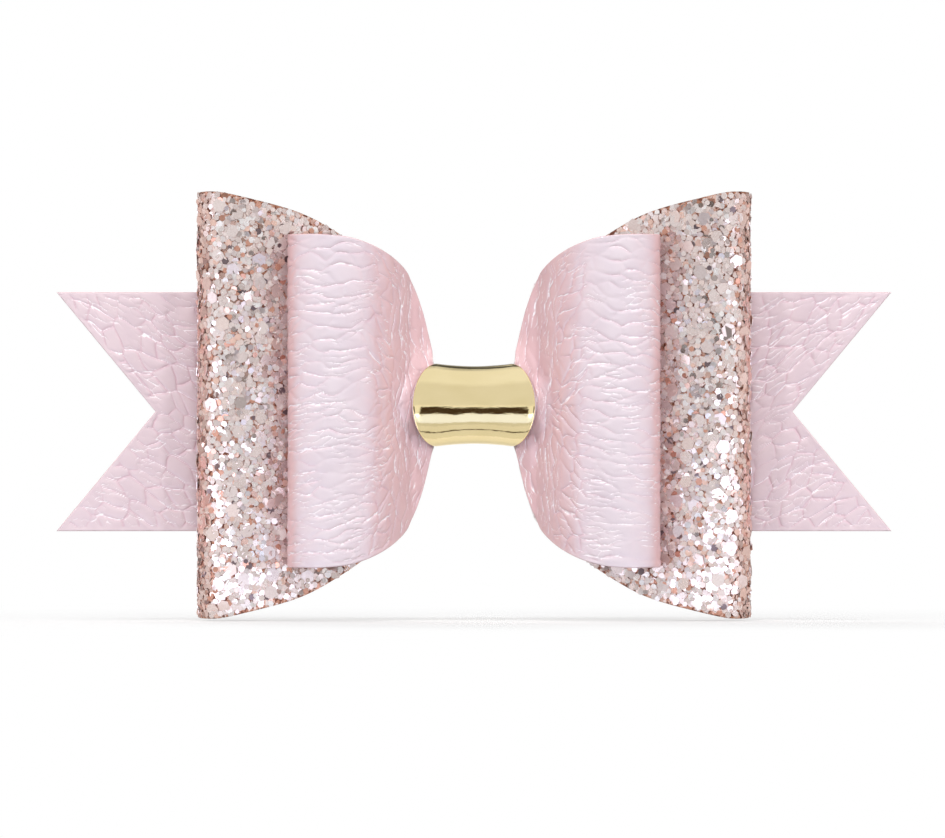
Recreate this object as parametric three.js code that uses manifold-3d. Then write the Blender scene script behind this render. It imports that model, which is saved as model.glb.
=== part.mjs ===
// Hair bow: two folded loop strips and a forked tail strip, cinched by a foil wrap, on a sprung
// alligator clip. Millimetres. +X runs along the tails and +Z is up. The face looks towards -Y,
// and hair is gripped between the clip's jaws, at y = 0.

import * as THREE from 'three';
import * as BufferGeometryUtils from 'three/addons/utils/BufferGeometryUtils.js';
import Module from 'manifold-3d';

const wasm = await Module();
wasm.setup();

// ---------------------------------------------------------------- driving dimensions

const LEATHER_T = 0.9;
const GLITTER_T = 1.0;
const FOIL_T = 0.6;
const GLUE_T = 0.15;
const RIBBON_T = 0.45;
const STEEL_T = 0.65;
const LAYER_GAP = 0.05;
const GRIP_CLEARANCE = 0.1;

const TAIL_HALF_LENGTH = 50.8;
const TAIL_HALF_HEIGHT = 14.6;
const TAIL_NOTCH_X = 38.7;
const TAIL_DROP = 0.8;
const TAIL_WAIST = 3.2;

const REAR_FOLD_X = 33.7;
const REAR_WAIST = 4.0;

const FRONT_FOLD_X = 22.7;
const FRONT_WAIST = 2.5;
const FRONT_LIFT = 0.5;

const WAIST_HALF_LENGTH = 5.0;
const TAB_END_X = 3.5;
const TAB_ROOT_X = 6.5;
const CUT_DEPTH = 80;

const WRAP_HALF_HEIGHT = 4.9;
const WRAP_HALF_WIDTH = 4.67;
const WRAP_BULGE = 2.85;
const WRAP_FACE_RADIUS = 1.2;
const WRAP_BACK_RADIUS = 1.7;
const WRAP_LAP = 2.0;

const CLIP_TIP_X = -19;
const CLIP_THUMB_X = 26;
const JAW_HALF_WIDTH = 3.2;
const TIP_HALF_WIDTH = 2.4;
const THUMB_HALF_WIDTH = 3.8;
const TEETH = 4;
const TOOTH_PITCH = 1.6;
const TOOTH_HEIGHT = 0.9;
const TOOTH_GAP = 0.35;

const PIVOT_X = 15;
const PIVOT_Y = 1.7;
const PIN_R = 0.9;
const PIN_HEAD_R = 1.5;
const PIN_HEAD_T = 0.45;
const PIN_FIT = 0.06;
const LOWER_FIT = 0.1;
const EAR_T = 0.6;
const UPPER_EAR_R = 2.2;
const UPPER_EAR_Z = 3.0;
const LOWER_EAR_R = 1.9;
const LOWER_EAR_Z = 2.25;
const LOWER_BRIDGE_Y = 4.15;

const WIRE_R = 0.28;
const COIL_R = 1.65;
const COIL_TURNS = 3.5;
const COIL_HALF_LENGTH = 1.4;
const SPRING_LEG_X = 7.0;
const UPPER_LEG_Y = -3.25;
const LOWER_LEG_Y = 2.35;

const SECTION_SIDES = 8;
const ROUND_SEGMENTS = 32;
const CURVE_STEPS = 5;

// Sheets in the pinched centre, from the grip plane forwards, each with its thickness.
const CENTRE_STACK = [
  ['wrapOuterEnd', FOIL_T],
  ['wrapGlue', GLUE_T],
  ['wrapInnerEnd', FOIL_T],
  ['upperJaw', STEEL_T],
  ['lining', RIBBON_T],
  ['clipGlue', GLUE_T],
  ['tails', LEATHER_T],
  ['tailGlue', GLUE_T],
  ['rearRightTab', GLITTER_T],
  ['rearTabGlue', GLUE_T],
  ['rearLeftTab', GLITTER_T],
  ['rearFace', GLITTER_T],
  ['loopGlue', GLUE_T],
  ['frontRightTab', LEATHER_T],
  ['frontTabGlue', GLUE_T],
  ['frontLeftTab', LEATHER_T],
  ['frontFace', LEATHER_T],
  ['wrapFace', FOIL_T],
];

function stackLayers(layers) {
  const middles = {};
  let y = -GRIP_CLEARANCE;
  for (const [name, thickness] of layers) {
    middles[name] = y - thickness / 2;
    y -= thickness + LAYER_GAP;
  }
  return middles;
}

const MIDDLE = stackLayers(CENTRE_STACK);

// ---------------------------------------------------------------- materials

const PEARL_PINK = { color: 0xe6ccd4, roughness: 0.42, metalness: 0.0 };
const ROSE_GLITTER = { color: 0xd0b9b4, roughness: 0.45, metalness: 0.55 };
const GOLD_FOIL = { color: 0xe2cd9c, roughness: 0.12, metalness: 1.0 };
const STEEL = { color: 0xb9babd, roughness: 0.3, metalness: 1.0 };
const SPRING_STEEL = { color: 0x9a9c9f, roughness: 0.28, metalness: 1.0 };
const RIBBON = { color: 0xe3cdd2, roughness: 0.85, metalness: 0.0 };
const GLUE = { color: 0xe9e6dc, roughness: 0.35, metalness: 0.0 };

// ---------------------------------------------------------------- shape helpers

const vec = (x, y) => new THREE.Vector2(x, y);

// A smooth run of points through the given knots.
function smooth(knots) {
  const curve = new THREE.CatmullRomCurve3(knots.map(([x, y]) => new THREE.Vector3(x, y, 0)));
  curve.curveType = 'centripetal';
  return curve.getPoints(CURVE_STEPS * (knots.length - 1)).map((p) => vec(p.x, p.y));
}

// The closed outline of a sheet of even thickness whose middle follows the points.
function stripShape(points, thickness) {
  const last = points.length - 1;
  const direction = (i) => points[i + 1].clone().sub(points[i]).normalize();
  const near = [];
  const far = [];
  points.forEach((point, i) => {
    const inward = direction(Math.max(i - 1, 0));
    const outward = direction(Math.min(i, last - 1));
    const along = inward.clone().add(outward).normalize();
    const mitre = along.dot(inward);
    const across = vec(-along.y, along.x).multiplyScalar(thickness / 2 / mitre);
    near.push(point.clone().add(across));
    far.unshift(point.clone().sub(across));
  });
  return new THREE.Shape([...near, ...far]);
}

// Each extrusion is centred on the axis that it runs along. The shape's two axes become XY, XZ or YZ.
function extrudeAlongZ(shape, width) {
  const geometry = new THREE.ExtrudeGeometry(shape, { depth: width, bevelEnabled: false });
  return geometry.translate(0, 0, -width / 2);
}

function extrudeAlongY(shape, width) {
  return extrudeAlongZ(shape, width).rotateX(Math.PI / 2);
}

function extrudeAlongX(shape, width) {
  const turn = new THREE.Matrix4().makeBasis(
    new THREE.Vector3(0, 1, 0),
    new THREE.Vector3(0, 0, 1),
    new THREE.Vector3(1, 0, 0),
  );
  return extrudeAlongZ(shape, width).applyMatrix4(turn);
}

function toSolid(geometry) {
  geometry.deleteAttribute('normal');
  geometry.deleteAttribute('uv');
  const welded = BufferGeometryUtils.mergeVertices(geometry);
  return new wasm.Manifold(new wasm.Mesh({
    numProp: 3,
    vertProperties: new Float32Array(welded.attributes.position.array),
    triVerts: new Uint32Array(welded.index.array),
  }));
}

function toGeometry(solid) {
  const mesh = solid.getMesh();
  const geometry = new THREE.BufferGeometry();
  geometry.setAttribute('position', new THREE.BufferAttribute(mesh.vertProperties, 3));
  geometry.setIndex(new THREE.BufferAttribute(mesh.triVerts, 1));
  geometry.computeVertexNormals();
  return geometry;
}

// Turns the quarter outline x > 0, y > 0 into the whole one, about both axes.
function mirroredOutline(quarter) {
  const back = [...quarter].reverse();
  return new THREE.Shape([
    ...quarter,
    ...back.map((p) => vec(p.x, -p.y)),
    ...quarter.map((p) => vec(-p.x, -p.y)),
    ...back.map((p) => vec(-p.x, p.y)),
  ]);
}

function mirroredKnots(knots) {
  return knots.map(([x, y]) => [-x, y]).reverse();
}

// ---------------------------------------------------------------- loops and tails

// A strip folded into two loops. Each side leaves the centre, turns at its fold and comes back
// behind as a tab, and the two tabs lap over each other behind the centre.
function loopRoute(faceY, sideRises, leftTabY, rightTabY) {
  const side = sideRises.map(([x, rise]) => [x, faceY - rise]);
  return smooth([
    [TAB_END_X, leftTabY],
    [-WAIST_HALF_LENGTH, leftTabY],
    [-TAB_ROOT_X, leftTabY],
    ...mirroredKnots(side),
    [-WAIST_HALF_LENGTH, faceY],
    [WAIST_HALF_LENGTH, faceY],
    ...side,
    [TAB_ROOT_X, rightTabY],
    [WAIST_HALF_LENGTH, rightTabY],
    [-TAB_END_X, rightTabY],
  ]);
}

// The folded strip, cut to its outline as seen from the front.
function cutStrip(route, thickness, outline, lift) {
  const band = toSolid(extrudeAlongZ(stripShape(route, thickness), CUT_DEPTH));
  const cutter = toSolid(extrudeAlongY(outline, CUT_DEPTH).translate(0, 0, lift));
  return toGeometry(band.intersect(cutter));
}

function makeFrontLoops() {
  const fold = FRONT_FOLD_X - LEATHER_T / 2;
  const sideRises = [
    [7.0, 0], [8.1, 0.1], [9.5, 1.65], [11.2, 4.15], [13.4, 6.3], [16.4, 7.35], [19.4, 7.1],
    [21.5, 5.9], [fold, 4.05],
    [21.4, 2.2], [19.2, 1.3], [15.0, 0.6], [11.5, -0.35], [9.0, -0.9],
  ];
  const edge = smooth([
    [5.05, 6.0], [6.5, 11.7], [8.1, 15.3], [10.7, 17.9], [14.4, 19.7], [18.0, 20.2],
    [FRONT_FOLD_X + 1, 20.2],
  ]);
  const outline = mirroredOutline([vec(WAIST_HALF_LENGTH, FRONT_WAIST), ...edge]);
  const route = loopRoute(MIDDLE.frontFace, sideRises, MIDDLE.frontLeftTab, MIDDLE.frontRightTab);
  return cutStrip(route, LEATHER_T, outline, FRONT_LIFT);
}

function makeRearLoops() {
  const fold = REAR_FOLD_X - GLITTER_T / 2;
  const sideRises = [
    [9.0, 0.1], [13.0, 0.9], [18.0, 2.4], [22.5, 4.5], [26.0, 5.9], [29.0, 6.5], [31.7, 5.9],
    [fold, 3.5],
    [32.2, 0.7], [29.5, -0.3], [24.0, -0.8], [17.0, -1.2], [11.0, -1.4],
  ];
  const edge = smooth([
    [5.2, 5.0], [6.6, 10.0], [9.4, 14.8], [12.5, 18.0], [15.9, 20.5], [21.0, 23.3], [27.5, 25.2],
    [31.5, 26.0], [REAR_FOLD_X + 1, 25.8],
  ]);
  const outline = mirroredOutline([vec(WAIST_HALF_LENGTH, REAR_WAIST), ...edge]);
  const route = loopRoute(MIDDLE.rearFace, sideRises, MIDDLE.rearLeftTab, MIDDLE.rearRightTab);
  return cutStrip(route, GLITTER_T, outline, 0);
}

function makeTails() {
  const sideRises = [[8, 0], [16, 0.65], [25, 1.15], [38, 1.7], [TAIL_HALF_LENGTH + 1, 2.1]];
  const side = sideRises.map(([x, rise]) => [x, MIDDLE.tails - rise]);
  const centre = [[-WAIST_HALF_LENGTH, MIDDLE.tails], [WAIST_HALF_LENGTH, MIDDLE.tails]];
  const route = smooth([...mirroredKnots(side), ...centre, ...side]);
  const neck = smooth([[WAIST_HALF_LENGTH, TAIL_WAIST], [9, 6.5], [15, 12.2], [21, TAIL_HALF_HEIGHT]]);
  const end = [vec(TAIL_HALF_LENGTH, TAIL_HALF_HEIGHT), vec(TAIL_NOTCH_X, 0)];
  return cutStrip(route, LEATHER_T, mirroredOutline([...neck, ...end]), -TAIL_DROP);
}

// ---------------------------------------------------------------- centre wrap

// The foil strip runs round the whole stack, and its ends lap between the clip's jaws.
function wrapRoute() {
  const top = WRAP_HALF_HEIGHT - FOIL_T / 2;
  const innerY = MIDDLE.wrapInnerEnd;
  const outerY = MIDDLE.wrapOuterEnd;
  const outerRadius = WRAP_BACK_RADIUS + outerY - innerY;
  const faceArcY = MIDDLE.wrapFace + WRAP_FACE_RADIUS;
  const quarter = Math.PI / 2;
  const path = new THREE.Path();
  path.moveTo(innerY, -WRAP_LAP);
  path.lineTo(innerY, top - WRAP_BACK_RADIUS);
  path.absarc(innerY - WRAP_BACK_RADIUS, top - WRAP_BACK_RADIUS, WRAP_BACK_RADIUS, 0, quarter);
  path.absarc(faceArcY, top - WRAP_FACE_RADIUS, WRAP_FACE_RADIUS, quarter, 2 * quarter);
  path.absarc(faceArcY, WRAP_FACE_RADIUS - top, WRAP_FACE_RADIUS, 2 * quarter, 3 * quarter);
  path.absarc(outerY - outerRadius, outerRadius - top, outerRadius, 3 * quarter, 4 * quarter);
  path.lineTo(outerY, WRAP_LAP);
  return path.getPoints(ROUND_SEGMENTS / 4);
}

// The strap keeps one width round the stack, and its face swells into a barrel in front.
function makeCentreWrap() {
  const fullWidth = 2 * (WRAP_HALF_WIDTH + WRAP_BULGE);
  const band = toSolid(extrudeAlongX(stripShape(wrapRoute(), FOIL_T), fullWidth));
  const strap = new THREE.BoxGeometry(2 * WRAP_HALF_WIDTH, CUT_DEPTH, 2 * WRAP_HALF_HEIGHT);
  const quarter = Math.PI / 2;
  const barrel = new THREE.Shape();
  barrel.absellipse(WRAP_HALF_WIDTH, 0, WRAP_BULGE, WRAP_HALF_HEIGHT, -quarter, quarter);
  barrel.absellipse(-WRAP_HALF_WIDTH, 0, WRAP_BULGE, WRAP_HALF_HEIGHT, quarter, 3 * quarter);
  const face = extrudeAlongY(barrel, 2 * FOIL_T).translate(0, MIDDLE.wrapFace - FOIL_T / 2, 0);
  return toGeometry(band.intersect(toSolid(face).add(toSolid(strap))));
}

// ---------------------------------------------------------------- glue

function makeGluePad(halfLength, halfHeight) {
  const oval = new THREE.Shape();
  oval.absellipse(0, 0, halfLength, halfHeight, 0, 2 * Math.PI);
  return extrudeAlongY(oval, GLUE_T);
}

// ---------------------------------------------------------------- clip

// Plan outline of a jaw, from knots of its length and half width.
function jawPlan(knots) {
  const edge = knots.map(([x, z]) => vec(x, z));
  const back = [...edge].reverse();
  return new THREE.Shape([...edge, ...back.map((p) => vec(p.x, -p.y))]);
}

function roundedEnd(radius) {
  const steps = ROUND_SEGMENTS / 4;
  const angles = Array.from({ length: steps }, (_, i) => (Math.PI / 2) * (1 - i / steps));
  const centre = CLIP_THUMB_X - radius;
  return angles.map((angle) => [centre + radius * Math.cos(angle), radius * Math.sin(angle)]);
}

// Cuts the jaw's bent tip to a zigzag. The side says which way the cutter reaches from it.
function toothCutter(side) {
  const reach = 6;
  const zigzag = [];
  for (let i = -TEETH; i <= TEETH; i += 1) {
    const crest = (i % 2 === 0 ? 0.5 : -0.5) * TOOTH_HEIGHT;
    zigzag.push(vec(crest - (side * TOOTH_GAP) / 2, (i * TOOTH_PITCH) / 2));
  }
  const end = (TEETH * TOOTH_PITCH) / 2;
  const shape = new THREE.Shape([...zigzag, vec(side * reach, end), vec(side * reach, -end)]);
  return toSolid(extrudeAlongX(shape, 4).translate(CLIP_TIP_X, 0, 0));
}

// An ear with a round end about the pivot, rooted in the jaw's strip on either side of it.
function earShape(radius, rootY, rootHalfLength) {
  const side = Math.sign(PIVOT_Y - rootY);
  const start = side > 0 ? 0 : Math.PI;
  const shape = new THREE.Shape();
  shape.moveTo(PIVOT_X - side * rootHalfLength, rootY);
  shape.lineTo(PIVOT_X + side * rootHalfLength, rootY);
  shape.absarc(PIVOT_X, PIVOT_Y, radius, start, start + Math.PI);
  return shape;
}

// A bent steel strip trimmed to its plan and teeth, with two ears bored for the pin.
function makeJaw(route, plan, toothSide, ear, earZ, boreRadius) {
  const strip = toSolid(extrudeAlongZ(stripShape(route, STEEL_T), 12));
  let jaw = strip.intersect(toSolid(extrudeAlongY(plan, CUT_DEPTH))).subtract(toothCutter(toothSide));
  for (const side of [-1, 1]) {
    jaw = jaw.add(toSolid(extrudeAlongZ(ear, EAR_T).translate(0, 0, side * earZ)));
  }
  const bore = new THREE.CylinderGeometry(boreRadius, boreRadius, 12, ROUND_SEGMENTS);
  return toGeometry(jaw.subtract(toSolid(bore.rotateX(Math.PI / 2).translate(PIVOT_X, PIVOT_Y, 0))));
}

function makeUpperJaw() {
  const y = MIDDLE.upperJaw;
  const tipX = CLIP_TIP_X + STEEL_T / 2;
  const route = [
    vec(tipX, 1.2), vec(tipX, y + 0.6), vec(tipX + 0.2, y + 0.2), vec(tipX + 0.6, y),
    vec(18.5, y), vec(22.5, y - 0.35), vec(CLIP_THUMB_X, y - 0.95),
  ];
  const earHalfWidth = UPPER_EAR_Z + EAR_T / 2;
  const plan = jawPlan([
    [CLIP_TIP_X - 1, TIP_HALF_WIDTH], [-6, JAW_HALF_WIDTH], [12, earHalfWidth], [18, earHalfWidth],
    [20, THUMB_HALF_WIDTH], ...roundedEnd(THUMB_HALF_WIDTH),
  ]);
  return makeJaw(route, plan, 1, earShape(UPPER_EAR_R, y, 3), UPPER_EAR_Z, PIN_R + PIN_FIT);
}

function makeLowerJaw() {
  const tipX = CLIP_TIP_X + STEEL_T / 2;
  const route = [
    vec(tipX, -1.2),
    ...smooth([
      [tipX, 0.9], [tipX + 0.5, 1.6], [-15, 2.4], [-8, 3.9], [0, 4.7], [8, 4.6],
      [PIVOT_X, LOWER_BRIDGE_Y], [19, 4.75], [22.5, 5.7], [CLIP_THUMB_X, 7.1],
    ]),
  ];
  const halfWidth = LOWER_EAR_Z + EAR_T / 2;
  const plan = jawPlan([
    [CLIP_TIP_X - 1, TIP_HALF_WIDTH], [-10, halfWidth], [18, halfWidth],
    [20.5, THUMB_HALF_WIDTH], ...roundedEnd(THUMB_HALF_WIDTH),
  ]);
  const ear = earShape(LOWER_EAR_R, LOWER_BRIDGE_Y, 2.6);
  return makeJaw(route, plan, -1, ear, LOWER_EAR_Z, PIN_R + LOWER_FIT);
}

// A rivet with a flat head outside each of the upper jaw's ears.
function makePin() {
  const shank = UPPER_EAR_Z + EAR_T / 2 + LAYER_GAP;
  const end = shank + PIN_HEAD_T;
  const profile = [
    vec(0, -end), vec(PIN_HEAD_R, -end), vec(PIN_HEAD_R, -shank), vec(PIN_R, -shank),
    vec(PIN_R, shank), vec(PIN_HEAD_R, shank), vec(PIN_HEAD_R, end), vec(0, end),
  ];
  return new THREE.LatheGeometry(profile, ROUND_SEGMENTS).rotateX(Math.PI / 2);
}

// A torsion spring about the pin, with a leg behind each thumb tab. Its centre is the pivot.
function makeSpring() {
  const points = [new THREE.Vector3(SPRING_LEG_X, UPPER_LEG_Y, -COIL_HALF_LENGTH)];
  const steps = Math.round(COIL_TURNS * 12);
  for (let i = 0; i <= steps; i += 1) {
    const angle = -Math.PI / 2 - (2 * Math.PI * COIL_TURNS * i) / steps;
    const z = COIL_HALF_LENGTH * ((2 * i) / steps - 1);
    points.push(new THREE.Vector3(COIL_R * Math.cos(angle), COIL_R * Math.sin(angle), z));
  }
  points.push(new THREE.Vector3(SPRING_LEG_X, LOWER_LEG_Y, COIL_HALF_LENGTH));
  const section = new THREE.Shape();
  section.absarc(0, 0, WIRE_R, 0, 2 * Math.PI);
  const wire = new THREE.CatmullRomCurve3(points, false, 'centripetal');
  return new THREE.ExtrudeGeometry(new THREE.Shape(section.getPoints(SECTION_SIDES)), {
    steps: steps * 2,
    extrudePath: wire,
    bevelEnabled: false,
  });
}

// The ribbon glued along the upper jaw's face.
function makeLining() {
  const y = MIDDLE.lining;
  const route = [vec(-17.5, y), vec(18.5, y), vec(22.3, y - 0.35), vec(25, y - 0.85)];
  const plan = jawPlan([[-18, 2.2], [-6, 2.9], [18, 3.0], [20, 3.4], [25.5, 3.0]]);
  const band = toSolid(extrudeAlongZ(stripShape(route, RIBBON_T), 12));
  return toGeometry(band.intersect(toSolid(extrudeAlongY(plan, CUT_DEPTH))));
}

// ---------------------------------------------------------------- assembly

const bow = new THREE.Group();

function place(name, geometry, material, x = 0, y = 0, z = 0) {
  const mesh = new THREE.Mesh(geometry, new THREE.MeshStandardMaterial(material));
  mesh.name = name;
  mesh.position.set(x, y, z);
  bow.add(mesh);
}

place('tails', makeTails(), PEARL_PINK);
place('rear_loops', makeRearLoops(), ROSE_GLITTER);
place('front_loops', makeFrontLoops(), PEARL_PINK);
place('centre_wrap', makeCentreWrap(), GOLD_FOIL);

place('glue_front_tabs', makeGluePad(3.0, 2.0), GLUE, 0, MIDDLE.frontTabGlue, FRONT_LIFT);
place('glue_loops', makeGluePad(3.2, 2.2), GLUE, 0, MIDDLE.loopGlue, 0);
place('glue_rear_tabs', makeGluePad(3.0, 3.0), GLUE, 0, MIDDLE.rearTabGlue, 0);
place('glue_tails', makeGluePad(3.4, 2.4), GLUE, 0, MIDDLE.tailGlue, 0);
place('glue_clip', makeGluePad(4.4, 2.2), GLUE, 0, MIDDLE.clipGlue, 0);
place('glue_wrap', makeGluePad(3.6, 1.6), GLUE, 0, MIDDLE.wrapGlue, 0);

place('clip_upper_jaw', makeUpperJaw(), STEEL);
place('clip_lower_jaw', makeLowerJaw(), STEEL);
place('clip_pin', makePin(), STEEL, PIVOT_X, PIVOT_Y, 0);
place('clip_spring', makeSpring(), SPRING_STEEL, PIVOT_X, PIVOT_Y, 0);
place('clip_lining', makeLining(), RIBBON);

export default bow;
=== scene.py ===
"""Hair bow, as seen: pebbled leatherette, glitter sheet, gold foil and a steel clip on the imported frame.

Shapes are worked out in millimetres in the row frame, and turned to metres when a mesh is made.
"""

import math

import bmesh
import bpy
import numpy as np
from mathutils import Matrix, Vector


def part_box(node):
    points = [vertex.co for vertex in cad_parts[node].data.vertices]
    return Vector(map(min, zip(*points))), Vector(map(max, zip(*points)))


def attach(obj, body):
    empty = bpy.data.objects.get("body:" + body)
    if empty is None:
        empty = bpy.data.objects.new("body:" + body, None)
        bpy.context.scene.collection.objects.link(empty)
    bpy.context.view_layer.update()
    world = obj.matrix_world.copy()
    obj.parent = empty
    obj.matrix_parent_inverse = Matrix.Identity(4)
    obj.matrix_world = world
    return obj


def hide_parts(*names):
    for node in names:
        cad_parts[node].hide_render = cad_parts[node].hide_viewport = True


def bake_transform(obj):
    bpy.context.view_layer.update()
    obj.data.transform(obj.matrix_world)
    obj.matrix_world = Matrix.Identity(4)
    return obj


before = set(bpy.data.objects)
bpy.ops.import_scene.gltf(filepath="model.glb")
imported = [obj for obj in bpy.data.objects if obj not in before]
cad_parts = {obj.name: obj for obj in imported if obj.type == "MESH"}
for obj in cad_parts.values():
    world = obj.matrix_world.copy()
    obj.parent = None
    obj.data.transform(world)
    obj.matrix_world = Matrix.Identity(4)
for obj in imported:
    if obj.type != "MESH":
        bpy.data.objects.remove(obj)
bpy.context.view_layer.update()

MM = 0.001
BOW = "bow"

# --- sizes

LEATHER_T = 0.9         # thicknesses of the layers
GLITTER_T = 1.0
FOIL_T = 0.6
GLUE_T = 0.15
RIBBON_T = 0.45
LAYER_GAP = 0.05

WAIST_X = 5.0           # the pinched middle of the strips, and where their tabs end
TAB_END_X = 3.5
TAB_ROOT_X = 6.5
FRONT_WAIST = 2.5       # half heights at the pinch
REAR_WAIST = 4.0
TAIL_WAIST = 3.2
TAIL_NOTCH_X = 39.0
TAIL_STRAIGHT_X = 30.0  # the tails' columns are straight up to here, and follow the notch beyond it

PEBBLE_DEPTH = 0.08
CREASE_WIDTH = 0.15
GRAIN_FADE = 0.6        # the grain dies out this near a cut edge
OTHER_SIDE = 60.0       # how far along the hide the right-hand side's grain lies from the left's
FINE_STEP = 0.15        # mesh steps, where the grain is seen and where it isn't
COARSE_STEP = 0.7
RIM = 0.16              # how far in from a cut edge the sheet is rounded

FLAKE_HALF_THICKNESS = 0.035
FLAKE_LEAN = 0.14
FOLD_TURN = 2.2         # how far round the fold the front flakes go on
PINCH_HIDES = 7.0       # no flakes this near the middle of the front run, and on the tabs behind
TABS_HIDE = 11.5


def box_mm(node):
    low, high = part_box(node)
    return np.array(low) / MM, np.array(high) / MM


def middle_mm(node):
    low, high = box_mm(node)
    return (low + high) / 2


def beside_glue(node, thickness, side):
    """Y of the middle of a sheet that lies against a glue pad, in front of it (-1) or behind it (+1)."""
    return middle_mm(node)[1] + side * (GLUE_T / 2 + LAYER_GAP + thickness / 2)


WRAP_LOW, WRAP_HIGH = box_mm("centre_wrap")
FRONT_LOW, FRONT_HIGH = box_mm("front_loops")
REAR_LOW, REAR_HIGH = box_mm("rear_loops")
TAIL_LOW, TAIL_HIGH = box_mm("tails")

FRONT_FACE_Y = WRAP_LOW[1] + FOIL_T + LAYER_GAP + LEATHER_T / 2
FRONT_TABS_Y = [beside_glue("glue_front_tabs", LEATHER_T, side) for side in (-1, 1)]
REAR_FACE_Y = beside_glue("glue_loops", GLITTER_T, 1)
REAR_TABS_Y = [beside_glue("glue_rear_tabs", GLITTER_T, side) for side in (-1, 1)]
TAILS_Y = beside_glue("glue_tails", LEATHER_T, 1)
FLOOR_Z = REAR_LOW[2] - 0.3

# --- repeatable noise


def smoothstep(x):
    x = np.clip(x, 0, 1)
    return x * x * (3 - 2 * x)


def ease(value, start, end):
    """0 at the start value, rising smoothly to 1 at the end value."""
    return smoothstep((value - start) / (end - start))


def lattice_random(i, j, seed):
    """A repeatable number from 0 to 1 for each whole i and j."""
    mask = 0xFFFFFFFF
    h = (i * 374761393 + j * 668265263 + seed * 974634777) & mask
    h = ((h ^ (h >> 13)) * 1274126177) & mask
    h = ((h ^ (h >> 15)) * 2246822519) & mask
    return ((h ^ (h >> 16)) & 0xFFFF) / 65535


def noise(u, v, size, seed):
    """Smooth noise from -1 to 1 with features of that size."""
    u, v = u / size, v / size
    i, j = np.floor(u).astype(np.int64), np.floor(v).astype(np.int64)
    fu, fv = smoothstep(u - i), smoothstep(v - j)
    low = lattice_random(i, j, seed) * (1 - fu) + lattice_random(i + 1, j, seed) * fu
    high = lattice_random(i, j + 1, seed) * (1 - fu) + lattice_random(i + 1, j + 1, seed) * fu
    return 2 * (low * (1 - fv) + high * fv) - 1


def cell_borders(s, z, cell, seed, jitter):
    """Distance in mm to the nearest border between irregular cells of that size, and its lie.

    The lie is 1 where the border runs along the cells, and 0 where it crosses them.
    """
    u, v = s / cell[0], z / cell[1]
    i, j = np.floor(u).astype(np.int64), np.floor(v).astype(np.int64)
    offsets = []
    for dj in range(-2, 3):
        for di in range(-2, 3):
            ci, cj = i + di, j + dj
            cu = ci + 0.5 * (cj % 2) + jitter * (lattice_random(ci, cj, seed) - 0.5)
            cv = cj + 0.5 + jitter * (lattice_random(ci, cj, seed + 1) - 0.5)
            offsets.append((cu - u, cv - v))
    offsets = np.array(offsets)
    squared = (offsets ** 2).sum(axis=1)
    nearest = squared.argmin(axis=0)[None]
    own = np.take_along_axis(offsets, nearest[:, None].repeat(2, axis=1), axis=0)
    own_squared = np.take_along_axis(squared, nearest, axis=0)
    between = np.abs(offsets - own)
    apart = np.sqrt((between ** 2).sum(axis=1))
    border = np.where(apart > 1e-9, (squared - own_squared) / (2 * np.maximum(apart, 1e-9)), 9.0)
    other = border.argmin(axis=0)[None]
    across = np.take_along_axis(between, other[:, None].repeat(2, axis=1), axis=0)[0]
    across /= np.maximum(np.hypot(*across), 1e-9)
    steep = np.hypot(across[0] / cell[0], across[1] / cell[1])
    return border.min(axis=0) / steep, across[0 if cell[0] < cell[1] else 1]


def area_under(height, along):
    """Area in square metres under heights in mm, measured at distances in mm."""
    return float(((height[1:] + height[:-1]) / 2 * np.diff(along)).sum()) * MM * MM


def pebble(s, z, cell, slant, worn, crossing, seed):
    """Leather grain at flat places: height, distance to a crease line painted as a highlight, and distance
    to a groove painted as shade.

    cell is a pebble's size along and across the sheet, slant how far the rows lean, worn how much of
    the creasing shows, and crossing how much of it shows where it runs across the rows.
    """
    z = z + slant * s
    bend_s = s + 0.7 * noise(s, z, 4.1, seed + 10) + 0.25 * noise(s, z, 1.3, seed + 11)
    bend_z = z + 0.6 * noise(s, z, 4.1, seed + 12) + 0.22 * noise(s, z, 1.3, seed + 13)
    border, lie = cell_borders(bend_s, bend_z, cell, seed, 0.9)
    shown = smoothstep(worn + 0.8 * noise(s, z, 2.6, seed + 14))
    strength = shown * (crossing + (1 - crossing) * lie ** 2)
    swell = smoothstep(border / (0.45 * min(cell)))
    small = (cell[0] / 2.1, cell[1] / 2.1)
    fine, fine_lie = cell_borders(bend_s, bend_z, small, seed + 20, 0.95)
    gate = smoothstep(worn + 0.9 * noise(s, z, 2.2, seed + 21) - border / 2.0) * (0.3 + 0.7 * fine_lie)
    crease = np.exp(-((border / CREASE_WIDTH) ** 2)) * (0.15 + 0.85 * strength)
    wrinkle = np.exp(-((fine / CREASE_WIDTH) ** 2)) * gate
    height = PEBBLE_DEPTH * (0.35 * swell - crease - 0.45 * wrinkle)
    height += 0.04 * noise(s, z, 6.0, seed + 30) + 0.01 * noise(s, z, 0.8, seed + 31)
    # Painted highlight: the line marks the creases to be painted near white, mostly those running along the
    # rows.
    line = np.minimum(border + 0.14 * (1 - shown * lie ** 2), fine + 0.14 * (1 - gate) + 0.02)
    # Painted shade: the groove marks every crease to be painted a darker pink.
    groove = border + 0.2 * (1 - strength)
    return height, np.minimum(line, 1.0), np.minimum(groove, 1.0)


def merge_grain(share, one, other):
    """One grain passing into another, by the share of the second."""
    hide_one = 0.3 * ease(share, 0.35, 0.95)
    hide_other = 0.3 * ease(share, 0.65, 0.05)
    height = one[0] * (1 - share) + other[0] * share
    return height, *(np.minimum(a + hide_one, b + hide_other) for a, b in zip(one[1:], other[1:]))


# --- curves


def unit(vectors):
    return vectors / np.linalg.norm(vectors, axis=-1, keepdims=True)


def distances_along(points):
    steps = np.linalg.norm(np.diff(points, axis=0), axis=1)
    return np.concatenate([[0], np.cumsum(steps)])


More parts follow.
